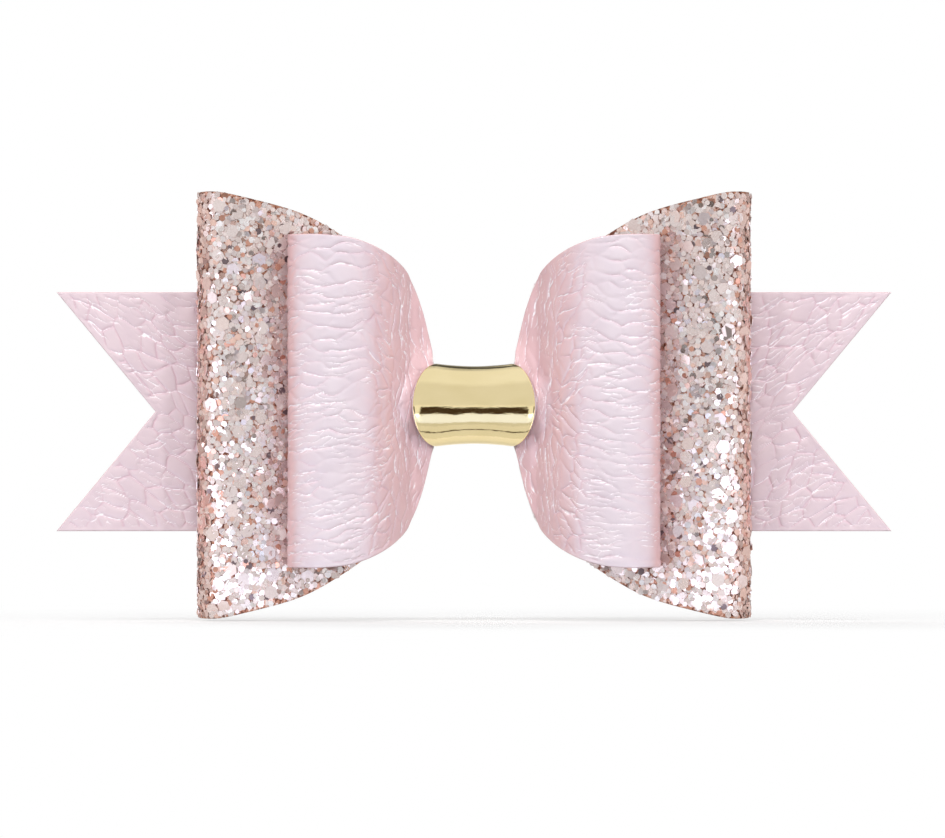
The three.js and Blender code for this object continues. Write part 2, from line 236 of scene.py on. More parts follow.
def catmull_rom(knots, steps=24):
    """A dense smooth line through the knots, by the centripetal Catmull-Rom rule."""
    knots = np.array(knots, float)
    ends = np.vstack([2 * knots[0] - knots[1], knots, 2 * knots[-1] - knots[-2]])
    runs = []
    for p0, p1, p2, p3 in zip(ends, ends[1:], ends[2:], ends[3:]):
        t1 = math.sqrt(np.linalg.norm(p1 - p0))
        t2 = t1 + math.sqrt(np.linalg.norm(p2 - p1))
        t3 = t2 + math.sqrt(np.linalg.norm(p3 - p2))
        t = np.linspace(t1, t2, steps, endpoint=False)[:, None]
        a1 = ((t1 - t) * p0 + t * p1) / t1
        a2 = ((t2 - t) * p1 + (t - t1) * p2) / (t2 - t1)
        a3 = ((t3 - t) * p2 + (t - t2) * p3) / (t3 - t2)
        b1 = ((t2 - t) * a1 + t * a2) / t2
        b2 = ((t3 - t) * a2 + (t - t1) * a3) / (t3 - t1)
        runs.append(((t2 - t) * b1 + (t - t1) * b2) / (t2 - t1))
    return np.vstack([*runs, knots[-1:]])


class Route:
    """A sheet's middle line in plan. Positions on it are distances along it."""

    def __init__(self, knots):
        self.points = catmull_rom(knots)
        self.along = distances_along(self.points)
        tangent = unit(np.gradient(self.points, self.along, axis=0))
        self.outward = np.stack([tangent[:, 1], -tangent[:, 0]], axis=1)
        self.length = self.along[-1]

    def place(self, s):
        return [np.interp(s, self.along, self.points[:, k]) for k in (0, 1)]

    def facing(self, s):
        return [np.interp(s, self.along, self.outward[:, k]) for k in (0, 1)]

    def stations(self, fine, coarse):
        """Distances along the route, closer together where the sheet faces the viewer."""
        step = np.where(self.outward[:, 1] < 0.3, fine, coarse)
        count = np.concatenate([[0], np.cumsum(np.diff(self.along) / step[1:])])
        spaces = 2 * math.ceil(count[-1] / 2)
        return np.interp(np.linspace(0, count[-1], spaces + 1), count, self.along)


def row_fractions(height, step):
    """Fractions of the height from 0 to 1, close together at both rims, an odd number of them."""
    rim = np.array([0, 0.3, 0.75]) * RIM / height
    inner = np.linspace(RIM * 1.3 / height, 1 - RIM * 1.3 / height, 2 * round(height / step / 2) + 1)
    return np.concatenate([rim, inner, 1 - rim[::-1]])


def mirrored(knots):
    return [(-x, *rest) for x, *rest in reversed(knots)]


# --- meshes


def mesh_object(name, verts, faces, materials, material_of_face=None):
    """A smooth mesh from points in mm. All its faces have the first material unless the last list says."""
    mesh = bpy.data.meshes.new(name)
    mesh.from_pydata((np.asarray(verts) * MM).tolist(), [], faces)
    for material in materials:
        mesh.materials.append(material)
    if material_of_face:
        mesh.polygons.foreach_set("material_index", np.asarray(material_of_face, np.int32))
    mesh.polygons.foreach_set("use_smooth", np.ones(len(faces), bool))
    mesh.update()
    piece = bpy.data.objects.new(name, mesh)
    bpy.context.scene.collection.objects.link(piece)
    return piece


def rim_profile(edge):
    """Share of the half thickness at a distance from the cut edge, which is slightly rounded."""
    return 0.7 + 0.3 * np.sqrt(1 - (1 - np.clip(edge / RIM, 0, 1)) ** 2)


def grid_faces(columns, rows, first=0, flip=False):
    index = first + np.arange(columns * rows).reshape(columns, rows)
    quads = np.stack([index[:-1, :-1], index[1:, :-1], index[1:, 1:], index[:-1, 1:]], axis=-1)
    quads = quads.reshape(-1, 4)
    return quads[:, ::-1] if flip else quads


def border_loop(columns, rows):
    """Grid positions round the border, as (column, row) pairs, in order."""
    right = [(i, 0) for i in range(columns - 1)]
    up = [(columns - 1, j) for j in range(rows - 1)]
    left = [(i, rows - 1) for i in range(columns - 1, 0, -1)]
    down = [(0, j) for j in range(rows - 1, 0, -1)]
    return np.array(right + up + left + down)


def sheet_object(name, bent, flat, edge, thickness, reliefs, materials, attributes=None):
    """A closed sheet from a grid of points: its outer side at full resolution and its inner side at half.

    bent holds each point's place and outward direction, flat its two distances on the sheet before
    it was bent, edge its distance from the cut edge, and reliefs what each side stands out there.
    """
    middle, outward = bent
    columns, rows = middle.shape[:2]
    front, back = (thickness / 2 * rim_profile(edge) + relief for relief in reliefs)
    outer = (middle + outward * front[..., None]).reshape(-1, 3)
    half = middle[::2, ::2] - outward[::2, ::2] * back[::2, ::2, None]
    half_columns, half_rows = half.shape[:2]
    verts = np.vstack([outer, half.reshape(-1, 3)])
    outer_faces = grid_faces(columns, rows)
    inner_faces = grid_faces(half_columns, half_rows, columns * rows, flip=True)

    ring = border_loop(columns, rows)
    ring_index = ring[:, 0] * rows + ring[:, 1]
    inner_ring = columns * rows + (ring[::2, 0] // 2) * half_rows + ring[::2, 1] // 2
    walls = [
        [int(ring_index[2 * k]), int(inner_ring[k]), int(inner_ring[(k + 1) % len(inner_ring)]),
         int(ring_index[(2 * k + 2) % len(ring)]), int(ring_index[2 * k + 1])]
        for k in range(len(inner_ring))
    ]
    faces = [*outer_faces.tolist(), *inner_faces.tolist(), *walls]
    sides = [0] * len(outer_faces) + [1] * (len(inner_faces) + len(walls))
    piece = mesh_object(name, verts, faces, materials, sides)

    flat = np.stack(flat, -1)
    flat_of_vert = np.vstack([flat.reshape(-1, 2), flat[::2, ::2].reshape(-1, 2)])
    add_sheet_uvs(piece.data, flat_of_vert, len(outer_faces), len(inner_faces), len(walls))
    for label, field in (attributes or {}).items():
        layer = piece.data.attributes.new(label, "FLOAT", "POINT")
        values = np.concatenate([field.ravel(), field[::2, ::2].ravel()])
        layer.data.foreach_set("value", values.astype(np.float32))
    turn_outwards(piece.data)
    return piece


def turn_outwards(mesh):
    work = bmesh.new()
    work.from_mesh(mesh)
    bmesh.ops.recalc_face_normals(work, faces=work.faces)
    work.to_mesh(mesh)
    work.free()


def circles(side, other, count):
    """For each pair of unit vectors, a ring of that many points on the circle through their ends."""
    angles = (np.arange(count) * 2 * math.pi / count)[:, None]
    return side[:, None] * np.cos(angles) + other[:, None] * np.sin(angles)


def rings_object(name, rings, material):
    """A closed form through rings of points, each with the same number of points."""
    count, sides = rings.shape[:2]
    faces = [[i * sides + k, i * sides + (k + 1) % sides, (i + 1) * sides + (k + 1) % sides,
              (i + 1) * sides + k] for i in range(count - 1) for k in range(sides)]
    last = (count - 1) * sides
    faces += [list(range(sides))[::-1], [last + k for k in range(sides)]]
    piece = mesh_object(name, rings.reshape(-1, 3), faces, [material])
    turn_outwards(piece.data)
    return piece


def settle(piece, stands_for=None):
    """Puts a piece on the bow, and in place of the CAD node that it stands for."""
    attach(piece, BOW)
    if stands_for:
        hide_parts(stands_for)


def add_sheet_uvs(mesh, flat_of_vert, outer_count, inner_count, wall_count):
    """Two maps: the flat sheet in mm for weaves and grain, and one that packs all sides for baking."""
    loop_vert = np.empty(len(mesh.loops), np.int64)
    mesh.loops.foreach_get("vertex_index", loop_vert)
    flat = flat_of_vert[loop_vert]
    mesh.uv_layers.new(name="flat").data.foreach_set("uv", flat.astype(np.float32).ravel())

    low = flat_of_vert.min(axis=0)
    share = (flat - low) / (flat_of_vert.max(axis=0) - low)
    outer_end = outer_count * 4
    inner_end = outer_end + inner_count * 4
    packed = share * [0.98, 0.46] + [0.01, 0.01]
    packed[outer_end:inner_end] = share[outer_end:inner_end] * [0.98, 0.44] + [0.01, 0.49]
    start = (np.arange(wall_count) / wall_count)[:, None]
    corner_u = np.array([0, 0, 1, 1, 0.5]) * 0.9 / wall_count
    corner_v = np.array([0, 1, 1, 0, 0]) * 0.04 + 0.95
    wall_u = 0.01 + 0.98 * (start + corner_u)
    packed[inner_end:] = np.stack([wall_u, np.broadcast_to(corner_v, wall_u.shape)], -1).reshape(-1, 2)
    mesh.uv_layers.new(name="OFBake").data.foreach_set("uv", packed.astype(np.float32).ravel())


def bend_onto(route, s, z):
    """Points and outward directions of flat places (s, z) on a sheet that stands along the route."""
    x, y = route.place(s)
    nx, ny = route.facing(s)
    return np.stack([x, y, z], -1), np.stack([nx, ny, np.zeros_like(nx)], -1)


# --- materials

WHITE = (1, 1, 1)


class Nodes:
    """A node tree, and short ways to add and join nodes."""

    def __init__(self, tree):
        self.tree = tree

    def feed(self, sockets, values):
        """Joins each output among the values to its socket, and sets the others."""
        for socket, value in zip(sockets, values):
            if isinstance(value, bpy.types.NodeSocket):
                self.tree.links.new(value, socket)
            else:
                socket.default_value = value

    def fill(self, node, sockets):
        """Feeds a node's sockets by their names."""
        self.feed([node.inputs[name.replace("_", " ")] for name in sockets], sockets.values())

    def node(self, kind, settings=None, **sockets):
        """A new node. Its settings are its properties, and its sockets are values or outputs."""
        made = self.tree.nodes.new("ShaderNode" + kind)
        for key, value in (settings or {}).items():
            setattr(made, key, value)
        self.fill(made, sockets)
        return made

    def math(self, operation, a, b):
        made = self.node("Math", {"operation": operation})
        self.feed(made.inputs, (a, b))
        return made.outputs[0]

    def times(self, a, b):
        return self.math("MULTIPLY", a, b)

    def noise(self, where, scale, detail):
        return self.node("TexNoise", Vector=where, Scale=scale, Detail=detail).outputs["Fac"]

    def ramp(self, value, stops, interpolation="LINEAR"):
        """A colour ramp from (place, colour) stops."""
        made = self.node("ValToRGB", Fac=value)
        ramp = made.color_ramp
        ramp.interpolation = interpolation
        while len(ramp.elements) < len(stops):
            ramp.elements.new(0.5)
        for element, (place, colour) in zip(ramp.elements, stops):
            element.position = place
            element.color = (*colour, 1)
        return made.outputs["Color"]

    def mix(self, share, a, b, blend="MIX"):
        """A mix of two colours."""
        made = self.node("Mix", {"data_type": "RGBA", "blend_type": blend})
        a, b = (end if isinstance(end, bpy.types.NodeSocket) else (*end, 1) for end in (a, b))
        self.feed((made.inputs[0], made.inputs[6], made.inputs[7]), (share, a, b))
        return made.outputs[2]

    def tint(self, colour, value, dark, pale=WHITE, share=1.0):
        """The colour, darkened where the value is low."""
        return self.mix(share, colour, self.ramp(value, [(0.3, dark), (0.7, pale)]), "MULTIPLY")

    def between(self, value, low, high):
        return self.node("MapRange", Value=value, To_Min=low, To_Max=high).outputs[0]

    def remap(self, value, start, end, low, high, interpolation="SMOOTHSTEP"):
        """From low at the start value to high at the end value, and flat beyond them."""
        return self.node("MapRange", {"interpolation_type": interpolation}, Value=value, From_Min=start,
                         From_Max=end, To_Min=low, To_Max=high).outputs[0]


class Shader(Nodes):
    """A material with a Principled BSDF."""

    def __init__(self, name, **sockets):
        self.material = bpy.data.materials.new(name)
        self.material.use_nodes = True
        super().__init__(self.material.node_tree)
        self.surface = self.tree.nodes["Principled BSDF"]
        self.wire(**sockets)

    def wire(self, **sockets):
        """Sets or joins the surface's sockets."""
        self.fill(self.surface, sockets)
        return self.material

    def place(self, per_axis=(1, 1, 1)):
        """Position on the object in mm, times a scale on each axis."""
        here = self.node("TexCoord").outputs["Object"]
        return self.node("Mapping", Vector=here, Scale=[k / MM for k in per_axis]).outputs[0]

    def cloud(self, scale, detail):
        """Noise through the solid, with its scale per mm."""
        return self.noise(self.place(), scale, detail)

    def flat(self):
        """Place on the flat sheet in mm."""
        return self.node("UVMap", {"uv_map": "flat"}).outputs[0]

    def attribute(self, label):
        return self.node("Attribute", {"attribute_name": label}).outputs["Fac"]

    def facing(self):
        """0 where the surface is seen face on, rising to 1 at a slant."""
        return self.node("LayerWeight", Blend=0.5).outputs["Facing"]

    def bands(self, direction, scale, distortion, detail):
        """Threads across the flat sheet."""
        return self.node("TexWave", {"wave_type": "BANDS", "bands_direction": direction}, Vector=self.flat(),
                         Scale=scale, Distortion=distortion, Detail=detail).outputs["Fac"]

    def bump(self, height, distance_mm, strength, **under):
        """Small relief, on top of the Normal under it."""
        return self.node("Bump", Height=height, Distance=distance_mm * MM, Strength=strength,
                         **under).outputs[0]


def leatherette():
    """Pearly pink film: paler and bluer face on, pinker at a slant, and pinker and darker near the pinch,
    from its strain there and from painted shade; its creases carry painted highlight lines and painted
    shade.
    """
    made = Shader("pearl_leatherette", IOR=1.45, Coat_Weight=0.5, Coat_Roughness=0.14)
    line, groove, strain_and_shade = (made.attribute(label) for label in ("line", "groove", "strain_and_shade"))
    pinkness = made.math("MAXIMUM", made.facing(), made.times(strain_and_shade, 0.42))
    pearl = made.ramp(pinkness, [(0.0, (0.70, 0.61, 0.66)), (0.2, (0.71, 0.56, 0.60)),
                                 (0.5, (0.80, 0.53, 0.54)), (1.0, (0.76, 0.45, 0.46))])
    # Painted shade: near the pinch the strained leather is painted a darker pink; on the tails the same
    # value is an even pink tone.
    taut_and_shaded = made.mix(made.times(strain_and_shade, 0.5), pearl, (0.66, 0.42, 0.44))
    shadow = made.mix(made.remap(groove, 0.05, 0.25, 0.45, 0.0), taut_and_shaded, (0.62, 0.36, 0.44))
    broken = made.remap(made.noise(made.flat(), 1.1, 3.0), 0.35, 0.55, 0.7, 0.0)
    kept = made.math("SUBTRACT", 1.0, broken)
    # Painted highlight: near-white lines along the creases, broken here and there.
    painted_highlight = made.times(kept, made.remap(line, 0.03, 0.13, 1.0, 0.0))
    with_highlights = made.mix(painted_highlight, shadow, (1.0, 0.95, 0.98))
    cloud = made.cloud(0.35, 3.0)
    colour = made.tint(with_highlights, cloud, (0.94, 0.93, 0.95))
    skin = made.cloud(6.0, 3.0)
    furrow = made.math("MINIMUM", made.math("MINIMUM", line, groove), 0.14)
    relief = made.bump(skin, 0.012, 0.6, Normal=made.bump(furrow, 1.0, 0.45))
    roughness = made.between(made.cloud(2.5, 2.0), 0.28, 0.42)
    return made.wire(Base_Color=colour, Roughness=roughness, Normal=relief)


def knit_backing():
    """Brushed knit on the back and at the cut edges of the sheets."""
    made = Shader("knit_backing", Sheen_Weight=0.4, Sheen_Roughness=0.5)
    loops = made.bands("X", 0.75, 3.0, 2.0)
    courses = made.bands("Y", 0.6, 4.0, 2.0)
    knit = made.times(made.math("ADD", loops, courses), 0.5)
    fuzz = made.cloud(5.0, 5.0)
    thread = made.math("ADD", made.times(knit, 0.6), made.times(fuzz, 0.4))
    colour = made.ramp(thread, [(0.2, (0.78, 0.66, 0.66)), (0.5, (0.89, 0.80, 0.80)),
                                (0.8, (0.94, 0.88, 0.87))])
    shade = made.tint(colour, made.cloud(0.3, 3.0), (0.93, 0.92, 0.92))
    relief = made.bump(fuzz, 0.08, 0.6, Normal=made.bump(knit, 0.06, 0.5))
    return made.wire(Base_Color=shade, Roughness=made.between(fuzz, 0.8, 0.95), Normal=relief)


def glitter_ground():
    """Dark copper resin with fine dust of flakes, seen between the large ones."""
    made = Shader("glitter_ground", Metallic=0.6)
    dust = made.node("TexVoronoi", Vector=made.flat(), Scale=3.2)
    random = made.node("SeparateColor", Color=dust.outputs["Color"]).outputs
    colour = made.ramp(random[0], [(0.0, (0.20, 0.07, 0.045)), (0.3, (0.48, 0.22, 0.14)),
                                   (0.6, (0.66, 0.40, 0.31)), (0.85, (0.78, 0.62, 0.56))], "CONSTANT")
    roughness = made.between(dust.outputs["Distance"], 0.3, 0.55)
    return made.wire(Base_Color=colour, Roughness=roughness, Normal=made.bump(random[1], 0.12, 0.8))


def glitter_flakes():
    """Metallised film flakes: mostly champagne, some pink, copper, silver and near black; the silver-white
    ones are partly a painted glint for sparkle, and all are tinted copper at a slant, a painted reflection.
    """
    made = Shader("glitter_flakes", IOR=1.6)
    pick = made.attribute("tone")
    # The near-white stop is partly silver flakes and partly a painted glint that stands for sparkle.
    flat_on = made.ramp(pick, [
        (0.00, (0.80, 0.69, 0.66)), (0.20, (0.86, 0.76, 0.73)), (0.42, (0.76, 0.66, 0.63)),
        (0.52, (0.88, 0.74, 0.69)), (0.64, (0.83, 0.77, 0.75)), (0.80, (0.86, 0.60, 0.51)),
        (0.86, (0.93, 0.90, 0.89)), (0.94, (0.64, 0.34, 0.25)), (0.982, (0.20, 0.15, 0.16)),
    ], "CONSTANT")
    # Painted reflection: flakes seen at a slant are tinted copper, as if they reflected the pink leather and
    # darker surroundings.
    painted_slant_reflection = made.remap(made.facing(), 0.12, 0.5, 0.0, 0.6, "LINEAR")
    colour = made.mix(painted_slant_reflection, flat_on, (0.86, 0.47, 0.36))
    roughness = made.between(made.math("FRACT", made.times(pick, 37.0), 0.0), 0.14, 0.4)
    metal = made.between(made.math("FRACT", made.times(pick, 91.0), 0.0), 0.5, 0.9)
    grimy = made.tint(colour, made.cloud(5.0, 2.0), (0.55, 0.40, 0.36), share=0.25)
    return made.wire(Base_Color=grimy, Roughness=roughness, Metallic=metal)


def gold_foil():
    """Mirror gold foil with faint streaks along the strip's width."""
    made = Shader("gold_foil", Metallic=1.0)
    streak = made.noise(made.place((0.9, 3.4, 3.4)), 1.0, 4.0)
    broad = made.noise(made.place((0.25, 0.5, 0.5)), 1.0, 1.0)
    colour = made.ramp(broad, [(0.3, (0.88, 0.73, 0.40)), (0.7, (0.92, 0.77, 0.44))])
    relief = made.bump(streak, 0.014, 0.5, Normal=made.bump(broad, 0.05, 0.3))
    return made.wire(Base_Color=colour, Roughness=made.between(streak, 0.05, 0.1), Normal=relief)


def pressed_steel(name, tone, smoothest, roughest):
    """Nickel-plated steel with fine rolling marks, handling smudges and softened edges."""
    made = Shader(name, Metallic=1.0)
    marks = made.noise(made.place((0.12, 7.0, 7.0)), 1.0, 5.0)
    smudge = made.cloud(0.3, 3.0)
    wave = made.cloud(0.12, 1.0)
    dark = tuple(k * 0.55 for k in tone)
    colour = made.mix(made.between(marks, -0.3, 0.9), tone, dark)
    rounded = made.node("Bevel", {"samples": 4}, Radius=0.14 * MM).outputs[0]
    relief = made.bump(marks, 0.012, 0.5, Normal=made.bump(wave, 0.5, 0.6, Normal=rounded))
    return made.wire(Base_Color=colour, Roughness=made.between(smudge, smoothest, roughest), Normal=relief)


def grosgrain():
    """Dull pink ribbon thread, between the modelled ribs."""
    made = Shader("grosgrain", Sheen_Weight=0.5, Sheen_Roughness=0.4)
    thread = made.bands("Y", 1.4, 0.6, 1.0)
    cloud = made.cloud(1.5, 3.0)
    colour = made.ramp(thread, [(0.0, (0.66, 0.45, 0.50)), (1.0, (0.83, 0.65, 0.70))])
    shade = made.tint(colour, cloud, (0.85, 0.8, 0.8), share=0.3)
    return made.wire(Base_Color=shade, Roughness=made.between(cloud, 0.7, 0.85),
                     Normal=made.bump(thread, 0.04, 0.7))


def hot_glue():
    """Milky hot-melt glue with a soft, wavy surface."""
    made = Shader("hot_glue", IOR=1.48, Subsurface_Weight=0.3, Subsurface_Scale=0.4 * MM)
    cloud = made.cloud(0.9, 3.0)
    colour = made.ramp(cloud, [(0.3, (0.80, 0.76, 0.67)), (0.7, (0.90, 0.88, 0.82))])
    return made.wire(Base_Color=colour, Roughness=made.between(cloud, 0.22, 0.4),
                     Normal=made.bump(cloud, 0.2, 0.5))


LEATHER = leatherette()
BACKING = knit_backing()
GROUND = glitter_ground()
FLAKES = glitter_flakes()
FOIL = gold_foil()
STEEL = pressed_steel("nickel_steel", (0.58, 0.57, 0.56), 0.12, 0.34)
SPRING_STEEL = pressed_steel("spring_steel", (0.48, 0.48, 0.48), 0.14, 0.3)
RIBBON = grosgrain()
GLUE = hot_glue()

# --- folded loops


def loop_route(face_y, rises, tabs_y):
    """A strip folded to a loop on each side, its two tabs lapped behind the centre."""
    side = [(x, face_y - rise) for x, rise in rises]
    left_tab, right_tab = tabs_y
    return Route([
        (TAB_END_X, left_tab), (-WAIST_X, left_tab), (-TAB_ROOT_X, left_tab),
        *mirrored(side),
        (-WAIST_X, face_y), (WAIST_X, face_y),
        *side,
        (TAB_ROOT_X, right_tab), (WAIST_X, right_tab), (-TAB_END_X, right_tab),
    ])


def half_height(x, edge, waist):
    """Half the height of the die-cut outline at a distance from the centre."""
    knots = [(WAIST_X, waist), *catmull_rom(edge).tolist()]
    return np.interp(np.abs(x), *np.array(knots).T)


def strip_grid(s, half, step, lift=0.0):
    """A strip's flat places: distances along it, heights, and the distance from the cut edge."""
    rows = row_fractions(2 * half.max(), step)
    along = np.broadcast_to(s[:, None], (len(s), len(rows)))
    z = lift + half[:, None] * (2 * rows[None] - 1)
    end = np.minimum(along, s[-1] - along)
    return along, z, np.minimum(half[:, None] - np.abs(z - lift), end)


def loop_grid(route, edge, waist, lift, fine, coarse):
    s = route.stations(fine, coarse)
    x, _ = route.place(s)
    return strip_grid(s, half_height(x, edge, waist), fine, lift)


FRONT_HALF_HEIGHT = (FRONT_HIGH[2] - FRONT_LOW[2]) / 2
FRONT_LIFT = (FRONT_HIGH[2] + FRONT_LOW[2]) / 2
FRONT_FOLD = FRONT_HIGH[0] - LEATHER_T / 2
FRONT_EDGE = [
    (5.05, 6.0), (6.5, 11.7), (8.1, 15.3), (10.7, 17.9), (14.4, 19.7), (18.0, FRONT_HALF_HEIGHT),
    (FRONT_FOLD + 1.5, FRONT_HALF_HEIGHT),
]
FRONT_RISES = [
    (7.0, 0), (8.1, 0.1), (9.5, 1.65), (11.2, 4.15), (13.4, 6.3), (16.4, 7.35), (19.4, 7.1),
    (21.5, 5.9), (FRONT_FOLD, 4.05),
    (21.4, 2.2), (19.2, 1.3), (15.0, 0.6), (11.5, -0.35), (9.0, -0.9),
]
REAR_HALF_HEIGHT = REAR_HIGH[2]
REAR_FOLD = REAR_HIGH[0] - GLITTER_T / 2 - 0.15
REAR_EDGE = [
    (5.2, 5.0), (6.6, 10.0), (9.4, 14.8), (12.5, 18.0), (15.9, 20.5), (21.0, 23.3), (27.5, 25.2),
    (31.5, REAR_HALF_HEIGHT), (REAR_FOLD + 1.5, REAR_HALF_HEIGHT - 0.2),
]
REAR_RISES = [
    (9.0, 0.1), (13.0, 0.9), (18.0, 2.4), (22.5, 4.5), (26.0, 5.9), (29.0, 6.5), (31.7, 5.9),
    (REAR_FOLD, 3.5),
    (32.2, 0.7), (29.5, -0.3), (24.0, -0.8), (17.0, -1.2), (11.0, -1.4),
]


WRAP_TOP = WRAP_HIGH[2] - FOIL_T / 2
WRAP_HALF_WIDTH = 4.67
WRAP_BULGE = WRAP_HIGH[0] - WRAP_HALF_WIDTH
WRAP_FRONT_Y = WRAP_LOW[1] + FOIL_T / 2 - 0.55
WRAP_DOME = 2.9
WRAP_FLARE = 0.75
CINCH_UNDER = (-1.4, 2.2)   # how far the strips move under the strap, forward and back
CINCH_DEPTH = 3.0           # how far back they slope away above and below it


def wrap_half_width(z):
    """Half the width of the strap's face at a height."""
    return WRAP_HALF_WIDTH + WRAP_BULGE * np.sqrt(np.clip(1 - (z / WRAP_TOP) ** 2, 0, 1))


def wrap_flare(x):
    """How far the strap's wings reach forward onto the loops, away from the middle."""
    return WRAP_FLARE * (np.clip(np.abs(x) - 3.4, 0, None) / 4.1) ** 2


def wrap_face_y(x, z):
    """Y of the middle of the strap's domed face."""
    return WRAP_FRONT_Y + WRAP_DOME * (1 - np.sqrt(np.clip(1 - (z / WRAP_TOP) ** 2, 0, 1))) - wrap_flare(x)


def beyond_strap(x, z):
    """How far a place lies outside the outline of the strap's face."""
    height = np.minimum(np.abs(z), WRAP_TOP)
    aside = np.maximum(np.abs(x) - wrap_half_width(height), 0)
    above = np.maximum(np.abs(z) - WRAP_TOP, 0)
    return np.hypot(aside, above)


def pinched(route, s, z):
    """Bends flat places onto the route, and draws them in at the strap.

    The strips follow the strap's back, and slope away above and below it.
    """
    points, outward = bend_onto(route, s, z)
    x, y, _ = np.moveaxis(points, -1, 0)
    height = np.minimum(np.abs(z), WRAP_TOP)
    room = wrap_face_y(x, height) + FOIL_T / 2 + LAYER_GAP + LEATHER_T / 2 - FRONT_FACE_Y
    room = np.where(room < 0, room * ease(np.abs(x), 4.0, 5.5), room)
    under = np.clip(room, *CINCH_UNDER) * ease(beyond_strap(x, z), 2.4, 0)
    sloped = CINCH_DEPTH * (0.4 + 0.6 * ease(np.abs(z), 2.0, 8.5)) * ease(np.abs(x), 10.0, 4.2)
    push = np.where(under < 0, under + sloped, np.maximum(under, sloped))
    share = np.clip((y + 1) / (FRONT_FACE_Y + 1), 0, 1)
    points[..., 1] += push * share
    return points, outward


def leather_sheet(name, stands_for, bent, flat, edge, grain, strain_and_shade, free=1.0):
    """A pebbled sheet. Its grain dies out at the cut edges, and where it isn't free but pressed flat."""
    height, line, groove = grain
    fade = smoothstep(edge / GRAIN_FADE)
    marks = {"line": line + 1 - fade, "groove": groove + 1 - fade, "strain_and_shade": strain_and_shade}
    piece = sheet_object(name, bent, flat, edge, LEATHER_T, (height * fade * free, 0),
                         (LEATHER, BACKING), marks)
    settle(piece, stands_for)
    return piece


def make_front_loops():
    route = loop_route(FRONT_FACE_Y, FRONT_RISES, FRONT_TABS_Y)
    along, z, edge = loop_grid(route, FRONT_EDGE, FRONT_WAIST, FRONT_LIFT, FINE_STEP, COARSE_STEP)
    middle, outward = pinched(route, along, z)
    out = np.abs(along - route.length / 2)
    hide = z + OTHER_SIDE * (along > route.length / 2)
    rows = pebble(out, hide, (3.1, 1.45), 0.1, 0.8, 0.12, seed=3)
    between = pebble(out, hide, (2.2, 2.1), -0.5 * np.sign(z), 1.0, 0.6, seed=4)
    columns = pebble(out, hide, (1.7, 3.0), 0.25, 1.2, 0.2, seed=5)
    reach = out + 2.0 * noise(out, hide, 5.0, 40)
    outer = merge_grain(ease(reach, 17.5, 14.5), rows, between)
    grain = merge_grain(ease(reach, 13.0, 10.0), outer, columns)
    x = middle[..., 0]
    # The value that rises near the strap is the leather's strain there, and painted shade where the pinch
    # shades it.
    piece = leather_sheet("front_loops_leather", "front_loops", (middle, outward), (along, z), edge,
                          grain, ease(np.abs(x), 11.0, 7.5), smoothstep(beyond_strap(x, z) / 0.8))


# --- glitter


# Small flakes side by side in two layers, with large ones and loose ones lying on top.
FLAKE_LAYERS = (
    # spacing, radius, jitter, lift off the sheet, palest tone drawn
    (0.80, 0.46, 0.4, -0.01, 1.0),
    (0.76, 0.43, 0.3, 0.07, 1.0),
    (3.2, 0.88, 0.45, 0.15, 0.64),
    (1.8, 0.34, 0.5, 0.18, 1.0),
)


def hexagon_flakes(name, centres, normals, radii, tones, seed):
    """Thin six-sided flakes lying on a surface, each turned at random and leaning a little."""
    rng = np.random.default_rng(seed)
    count = len(centres)
    normal = unit(normals + rng.normal(0, FLAKE_LEAN, (count, 3)))
    side = unit(np.cross(normal, rng.normal(0, 1, (count, 3))))
    ring = circles(side, np.cross(normal, side), 6) * radii[:, None, None]
    low = centres[:, None] + ring - normal[:, None] * FLAKE_HALF_THICKNESS
    high = centres[:, None] + ring + normal[:, None] * FLAKE_HALF_THICKNESS
    verts = np.concatenate([low, high], axis=1).reshape(-1, 3)
    top = [6, 7, 8, 9, 10, 11]
    bottom = [5, 4, 3, 2, 1, 0]
    sides = [[k, (k + 1) % 6, (k + 1) % 6 + 6, k + 6] for k in range(6)]
    faces = [[12 * n + k for k in face] for n in range(count) for face in (top, bottom, *sides)]
    piece = mesh_object(name, verts, faces, [FLAKES])
    piece.data.polygons.foreach_set("use_smooth", np.zeros(len(faces), bool))
    tone = piece.data.attributes.new("tone", "FLOAT", "POINT")
    tone.data.foreach_set("value", np.repeat(tones, 12).astype(np.float32))

    across = math.ceil(math.sqrt(count))
    cell = np.stack([np.arange(count) % across, np.arange(count) // across], -1) / across
    loops = 6 + 6 + 24
    corner = rng.uniform(0.3, 0.7, (loops, 2)) / across
    packed = (cell[:, None] + corner[None]).reshape(-1, 2)
    piece.data.uv_layers.new(name="OFBake").data.foreach_set("uv", packed.astype(np.float32).ravel())
    settle(piece)
    return piece


def flake_places(route, low_s, high_s, spacing, jitter, margin, rng):
    """Scattered flat places on the rear strip between two distances along it."""
    columns = np.arange(low_s, high_s, spacing)
    rows = np.arange(-REAR_HALF_HEIGHT, REAR_HALF_HEIGHT, spacing * 0.87)
    s = columns[:, None] + (np.arange(len(rows)) % 2)[None] * spacing / 2
    z = np.broadcast_to(rows[None], s.shape)
    s = (s + rng.uniform(-jitter, jitter, s.shape) * spacing).ravel()
    z = (z + rng.uniform(-jitter, jitter, z.shape) * spacing).ravel()
    x, _ = route.place(s)
    inside = np.abs(z) < half_height(x, REAR_EDGE, REAR_WAIST) - margin
    return s[inside], z[inside]


